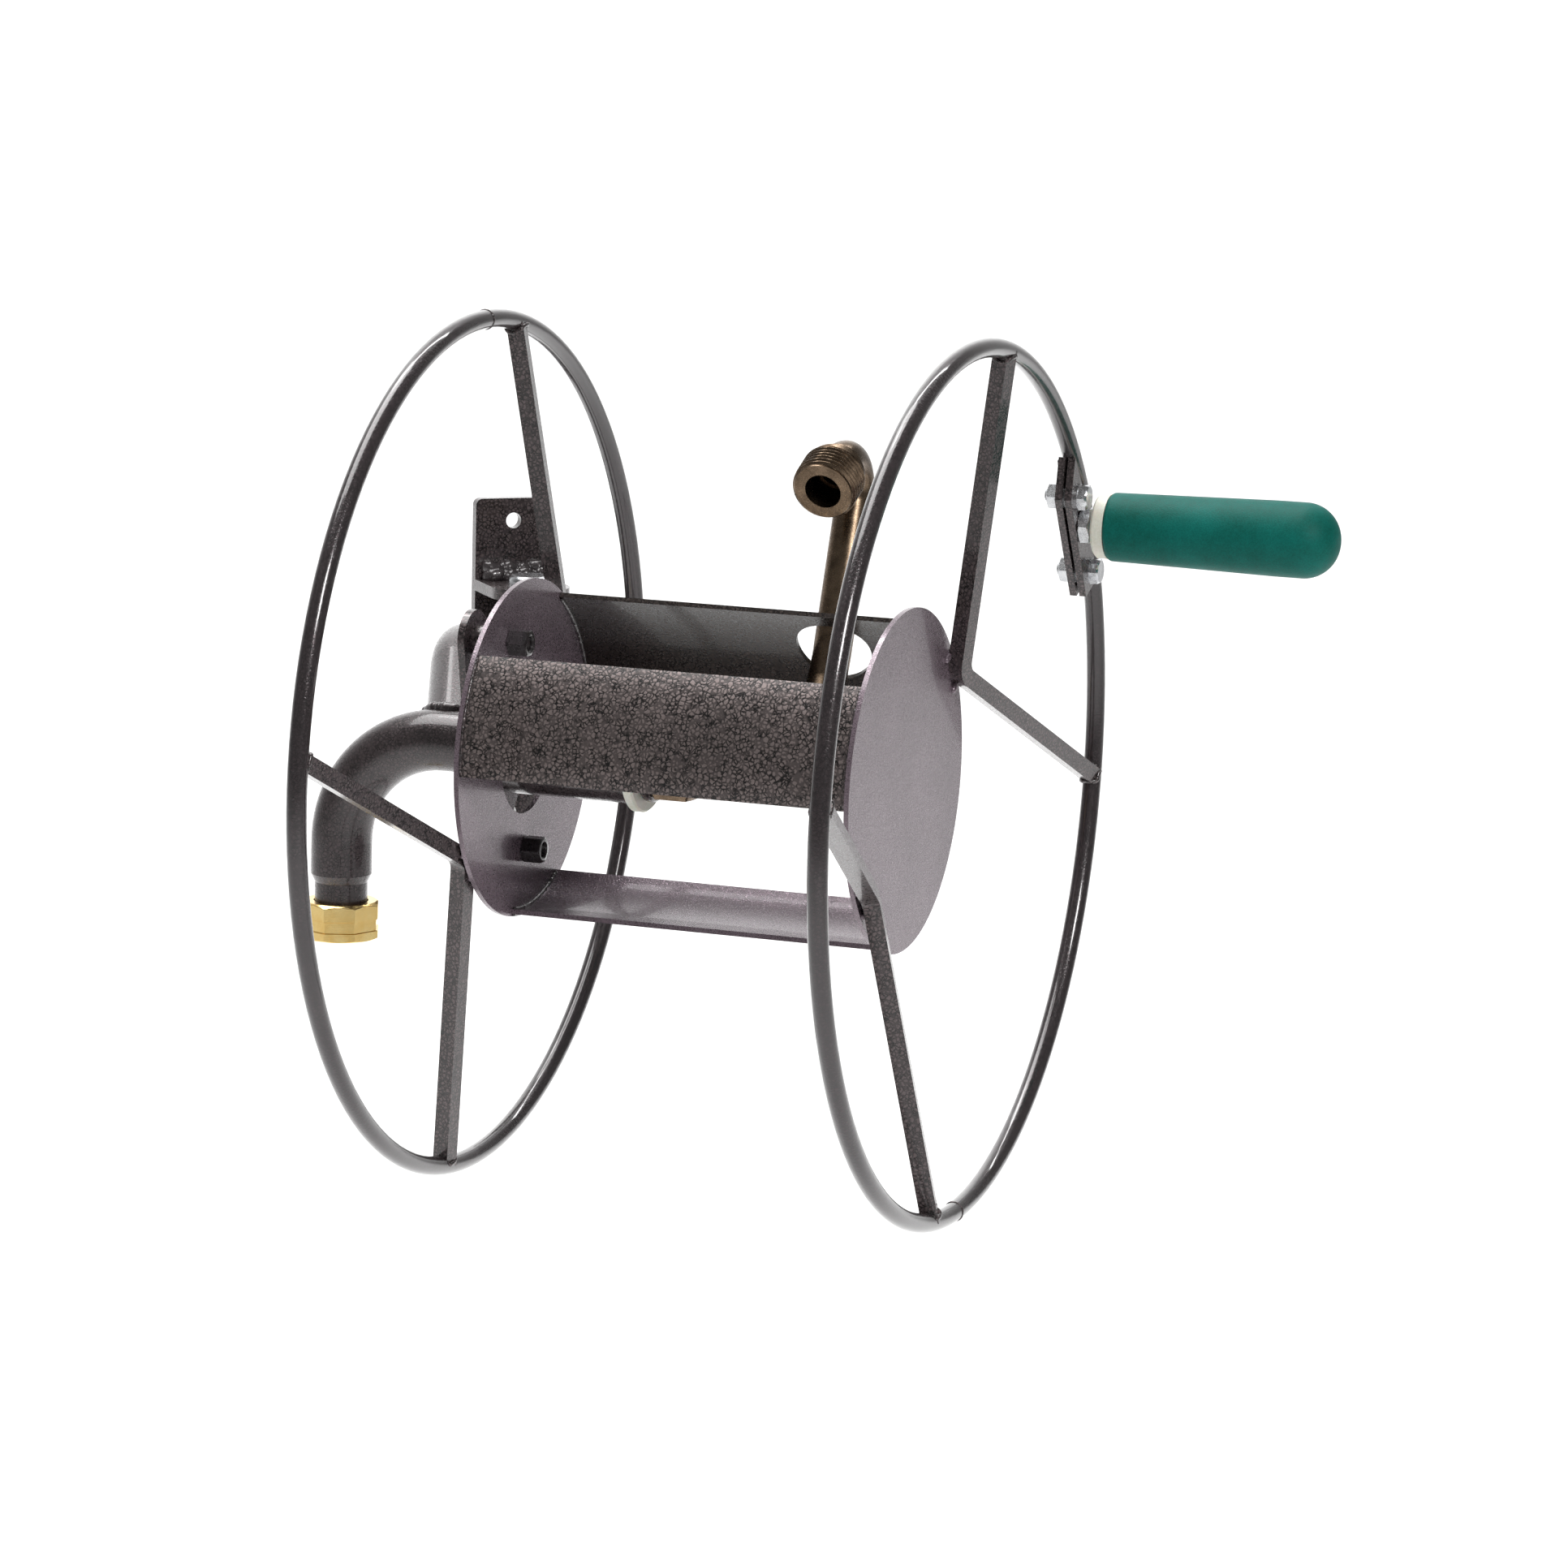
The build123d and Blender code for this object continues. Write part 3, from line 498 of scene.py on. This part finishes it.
# Hexagon nuts and bolt heads
cap_nut = turned("swivel_cap_nut_chamfered", on_axis(CAP_NUT_X, 0, 0), [
    (0.0, 15.0, 30.0),
    (1.4, 17.32, 30.0),
    (15.0, 17.32, 30.0),
    (16.6, 14.6, None),
    (16.6, 9.9, None),
    (13.8, 9.9, None),
    (13.8, 12.7, None),
    (0.0, 12.7, None),
], "arm", "bronze_plate", bronze, around=72, step=0.4)
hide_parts("swivel_cap_nut")


def handle_point(offset):
    """The Y and Z of a point on the handle plates, at an offset along the rim from their middle."""
    y, z = polar(HANDLE_R, HANDLE_ANGLE)
    along_y, along_z = polar(offset, HANDLE_ANGLE + 90)
    return y + along_y, z + along_z


def threaded_bolt(name, tip_x, head_x, at, flats, head, body, material):
    """A bolt along the reel's axis: a fine thread at its tip and a chamfered hexagon head."""
    length = head_x - tip_x
    corner = flats / math.sqrt(3)
    profile = [(0.0, 0.0), (0.0, 2.3), (0.5, 2.85)]
    profile += [(0.5 + i * 0.25, 3.0 if i % 4 < 2 else 2.7) for i in range(1, 34)]
    profile += [(length, 3.0), (length, corner), (length + head - 0.7, corner)]
    profile += [(length + head, flats / 2 - 0.4), (length + head, 0.0)]
    around = 48
    points = []
    for s, r in profile:
        for i in range(around):
            angle = 2 * math.pi * i / around
            off = (angle + math.pi / 6) % (math.pi / 3) - math.pi / 6
            radius = min(r, flats / 2 / math.cos(off)) if s >= length else r
            points.append((radius * math.cos(angle), radius * math.sin(angle), s))
    faces = loops_to_faces(len(profile), around, False)
    return piece(name, points, faces, on_axis(tip_x, *at), body, material)


spindle_nut = hex_nut(
    "spindle_nut_chamfered", flats=14.0, height=5.0, bore=5.0,
    place=on_axis(SPINDLE_NUT_X, *handle_point(SPINDLE_OFFSET)), body="reel", slot="zinc", material=zinc,
)
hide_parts("spindle_nut")

for index, offset in enumerate(BOLT_OFFSETS):
    at = handle_point(offset)
    bolt = threaded_bolt(
        f"handle_bolt_{index}", HANDLE_BOLT_TIP_X, HANDLE_BOLT_HEAD_X, at, flats=10.0, head=4.0,
        body="reel", material=zinc,
    )
    nut = hex_nut(
        f"handle_nut_{index}", flats=10.0, height=5.0, bore=3.0,
        place=on_axis(HANDLE_NUT_X, *at), body="reel", slot="zinc", material=zinc,
    )
    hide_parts("handle_bolts")
    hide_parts("handle_nuts")

for index, at in enumerate(FLANGE_BOLTS):
    nut = hex_nut(
        f"flange_nut_{index}", flats=10.0, height=8.5, bore=3.0,
        place=on_axis(LEFT_DISC[1], *at), body="reel", slot="hammered_paint", material=paint_nut,
    )
    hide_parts("flange_nuts")

# Welds between the drum's strips and the discs, outside and inside each strip
for strip, strip_angle in STRIPS.items():
    angles = [strip_angle + STRIP_WIDTH_ANGLE * (i / 24 - 0.5) * STRIP_WELD_SHARE for i in range(25)]
    for side_name, disc_x, towards in (("left", LEFT_DISC[1], 1), ("right", RIGHT_DISC[0], -1)):
        x = disc_x + towards * STRIP_WELD_SINK
        over = [(x, *polar(STRIP_R + 0.1, a)) for a in angles]
        weld(f"weld_{strip}_strip_{side_name}", over, 0.85, reel, "reel", paint_plate)
        under = [(x + towards * 0.3, *polar(STRIP_R - STRIP_THICKNESS - 0.2, a)) for a in angles]
        weld(f"weld_{strip}_strip_{side_name}_inside", under, 0.8, reel, "reel", paint_gloss)


def spoke_line(side, angle, turn):
    """Where one arm of a spoke meets its rim, and the spoke's inner corner on the disc."""
    face = RIGHT_DISC[1] if side > 0 else LEFT_DISC[0]
    apex = Vector((face + side * SPOKE_SIZE / 2, *polar(SPOKE_APEX_R, angle)))
    return Vector((side * RIM_X, *polar(RIM_R, angle + turn))), apex


# Welds at the spokes' ends on the rims, and where each spoke's corner crosses its disc
for side, side_name in ((-1, "left"), (1, "right")):
    for level, angle in SPOKE_ANGLES.items():
        for index, turn in enumerate((SPOKE_HALF_ANGLE, -SPOKE_HALF_ANGLE)):
            end, apex = spoke_line(side, angle, turn)
            inwards = (apex - end).normalized()
            end_angle = math.radians(angle + turn)
            rim_line = Vector((0, -math.sin(end_angle), math.cos(end_angle)))
            across = rim_line.cross(inwards).normalized()
            beside = inwards.cross(across)
            loop = []
            for i in range(32):
                a = 2 * math.pi * i / 32
                u, v = (math.copysign(abs(f(a)) ** 0.5, f(a)) * SPOKE_WELD_HALF for f in (math.cos, math.sin))
                depth = math.sqrt(max(0.0, ROD_R ** 2 - min(abs(v), 3.6) ** 2)) + 0.5
                loop.append(end + inwards * depth + beside * u + across * v)
            weld_name = f"weld_{side_name}_{level}_spoke_{index}"
            weld(weld_name, loop, 0.95, reel, "reel", paint_plate, closed=True)
        face = RIGHT_DISC[1] if side > 0 else LEFT_DISC[0]
        for index, turn in enumerate((CORNER_WELD_TURN, -CORNER_WELD_TURN)):
            bead = []
            for r in CORNER_WELD_RADII:
                swing = turn * (68.0 / r) * (1 + (69 - r) * 0.05)
                bead.append(Vector((face + side * 0.3, *polar(r, angle + swing))))
            # The corner welds take the discs' lighter paint copy, with its painted reflection of the backdrop.
            weld(f"weld_{side_name}_{level}_corner_{index}", bead, 1.3, reel, "reel", paint_disc_painted_reflection)

# Butt welds of the rims
for side, side_name, angle in ((-1, "left", 90.0), (1, "right", 270.0)):
    centre = Vector((side * RIM_X, *polar(RIM_R, angle)))
    outwards = Vector((0, *polar(1.0, angle)))
    turns = [2 * math.pi * i / 24 for i in range(24)]
    ring = [centre + (outwards * math.cos(a) + Vector((math.sin(a), 0, 0))) * (ROD_R - 0.2) for a in turns]
    weld(f"weld_{side_name}_rim", ring, 0.55, reel, "reel", paint_plate, closed=True)

# Welds that hold the handle plate in the rim
for index, (start, end) in enumerate(HANDLE_WELD_ANGLES):
    angles = [HANDLE_ANGLE + start + (end - start) * i / 12 for i in range(13)]
    inner_x, inner_r = HANDLE_WELD_INNER
    inner = [(inner_x, *polar(inner_r, a)) for a in angles]
    weld(f"weld_handle_inner_{index}", inner, 1.5, reel, "reel", paint_plate)
    outer_x, outer_r = HANDLE_WELD_OUTER
    outer = [(outer_x, *polar(outer_r, a)) for a in angles[2:-2]]
    weld(f"weld_handle_outer_{index}", outer, 0.9, reel, "reel", paint_plate)


def inlet_distance(point):
    """How far a point is from the inlet tube's middle line."""
    if point.x > INLET_BEND_X:
        return math.hypot(point.y, point.z)
    centre = Vector((INLET_BEND_X, 0.0, -INLET_BEND_R))
    flat = math.hypot(point.x - centre.x, point.z - centre.z)
    return math.hypot(flat - INLET_BEND_R, point.y)


def sleeve_distance(point):
    """How far a point is from the pivot sleeve's middle line."""
    return math.hypot(point.x - PIVOT.x, point.y - PIVOT.y)


def meeting_curve(start, heading, radius, distance, limit):
    """The curve where a straight tube of that radius meets a surface at a distance from a line."""
    side = heading.orthogonal().normalized()
    up = heading.cross(side)
    curve = []
    for i in range(48):
        a = 2 * math.pi * i / 48
        foot = start + (side * math.cos(a) + up * math.sin(a)) * radius
        near, far = 0.0, 60.0
        for _ in range(30):
            middle = (near + far) / 2
            if distance(foot + heading * middle) > limit:
                near = middle
            else:
                far = middle
        curve.append(foot + heading * near)
    return curve


# Welds at the two ends of the support arm
heading = (ARM_END - ARM_CORNER).normalized()
start = ARM_END - heading * ARM_WELD_SINK
curve = meeting_curve(start, heading, ARM_R + 0.3, inlet_distance, INLET_R + 0.5)
weld("weld_arm_inlet", curve, 2.4, reel, "arm", paint_tube, closed=True, pitch=2.6)
heading = (PIVOT - ARM_CORNER).normalized()
start = PIVOT - heading * ARM_WELD_SINK
curve = meeting_curve(start, heading, ARM_R + 0.3, sleeve_distance, SLEEVE_R + 0.5)
weld("weld_arm_sleeve", curve, 2.2, reel, "arm", paint_tube, closed=True, pitch=2.6)

# Weld of the bearing flange to the hub sleeve
hub_weld_x, hub_weld_r = HUB_WELD
ring = [(hub_weld_x, *polar(hub_weld_r, a * 10.0)) for a in range(36)]
weld("weld_hub", ring, 1.6, reel, "reel", paint_plate, closed=True, pitch=2.2)

# Welds of the ears to the wall plate, as (name, Z, Y, radius): heavy outside the ears, lighter between them
EAR_WELDS = (
    ("top_high", 44.6, -6.2, 3.4),
    ("top_low", 42.0, -8.6, 3.2),
    ("upper_ear_under", 34.6, -5.6, 1.6),
    ("lower_ear_over", -34.6, -5.6, 1.6),
    ("bottom_high", -42.0, -8.6, 3.2),
    ("bottom_low", -44.6, -6.2, 3.4),
)
for name, z, y, radius in EAR_WELDS:
    heavy = radius > 2
    bead = []
    for i in range(31):
        wander = 0.5 * math.sin(i * 0.55 + abs(z))
        across = -EAR_WELD_HALF + 2 * EAR_WELD_HALF * i / 30
        bead.append((across, y + 0.35 * math.sin(i * 0.9), z + wander))
    material = paint_gloss if heavy else paint_plate
    pitch = 2.0 if heavy else 2.2
    weld(f"weld_{name}", bead, radius, wall, "wall_bracket", material, ripple=0.12, pitch=pitch)


# ---- Floor, light and camera ----

def plain(name, colour, rough):
    """A dull, very slightly uneven surface for the floor."""
    n = Nodes(name)
    shade = n.spread(n.noise(1.5, 2.0), 0.3, 0.7)
    return n.set(Base_Color=n.mix(shade, tuple(c * 0.99 for c in colour), colour), Roughness=rough)


def sheet_piece(name, profile, width, material):
    """A wide sheet with a given profile of (Y, Z) points, for the floor and its backdrop."""
    points = [(side * width / 2, y, z) for y, z in profile for side in (-1, 1)]
    faces = [(2 * i, 2 * i + 1, 2 * i + 3, 2 * i + 2) for i in range(len(profile) - 1)]
    mesh = bpy.data.meshes.new(name)
    mesh.from_pydata(points, [], faces)
    mesh.polygons.foreach_set("use_smooth", [True] * len(faces))
    mesh.materials.append(material)
    made = bpy.data.objects.new(name, mesh)
    bpy.context.scene.collection.objects.link(made)


floor_z = cad_box[0][2] - FLOOR_DROP
bend = []
for i in range(17):
    a = math.pi / 2 * i / 16
    bend_y = BACKDROP_BEND_Y + BACKDROP_BEND_R * math.sin(a)
    bend.append((bend_y, floor_z + BACKDROP_BEND_R - BACKDROP_BEND_R * math.cos(a)))
floor_profile = [(-6.0, floor_z)] + bend + [(3.4, floor_z + 7.0)]
sheet_piece("floor", floor_profile, 16.0, plain("floor_white", (0.94, 0.94, 0.94), 0.9))

world = bpy.data.worlds.new("studio")
bpy.context.scene.world = world
world.use_nodes = True
background = world.node_tree.nodes["Background"]
background.inputs["Color"].default_value = (1.0, 0.995, 0.99, 1.0)
background.inputs["Strength"].default_value = 0.18

middle = Vector([(low + high) / 2 for low, high in zip(*cad_box)])


def soft_light(name, offset, size, power, aim=(0.0, 0.0, 0.0)):
    """An area light at an offset from the object's middle, turned to a point given the same way."""
    data = bpy.data.lights.new(name, "AREA")
    data.shape = "RECTANGLE"
    data.size, data.size_y = size
    data.energy = power
    lamp = bpy.data.objects.new(name, data)
    bpy.context.scene.collection.objects.link(lamp)
    lamp.location = middle + Vector(offset)
    lamp.rotation_euler = (Vector(aim) - Vector(offset)).to_track_quat("-Z", "Y").to_euler()


soft_light("key", (0.3, -2.2, 1.6), (0.7, 0.7), 34.0)
soft_light("top", (-0.5, 0.6, 2.2), (2.0, 1.6), 54.0)
soft_light("backdrop", (1.0, 1.4, 2.6), (3.0, 0.8), 108.0, (0.9, 3.6, 0.4))

azimuth, elevation, roll = (math.radians(a) for a in CAMERA_ANGLES)
level = math.cos(elevation)
back = Vector((math.sin(azimuth) * level, -math.cos(azimuth) * level, math.sin(elevation)))
right = Vector((math.cos(azimuth), math.sin(azimuth), 0.0))
up = back.cross(right)
tilted_right = right * math.cos(roll) + up * math.sin(roll)
tilted_up = up * math.cos(roll) - right * math.sin(roll)
camera_data = bpy.data.cameras.new("camera")
camera_data.lens = CAMERA_LENS
camera_data.sensor_width = 36.0
camera_data.clip_end = 50.0
camera = bpy.data.objects.new("camera", camera_data)
bpy.context.scene.collection.objects.link(camera)
camera_place = Matrix.Translation(Vector(CAMERA_TARGET) + back * CAMERA_DISTANCE)
camera.matrix_world = camera_place @ Matrix((tilted_right, tilted_up, back)).transposed().to_4x4()
bpy.context.scene.camera = camera
bpy.context.scene.view_settings.view_transform = "Standard"
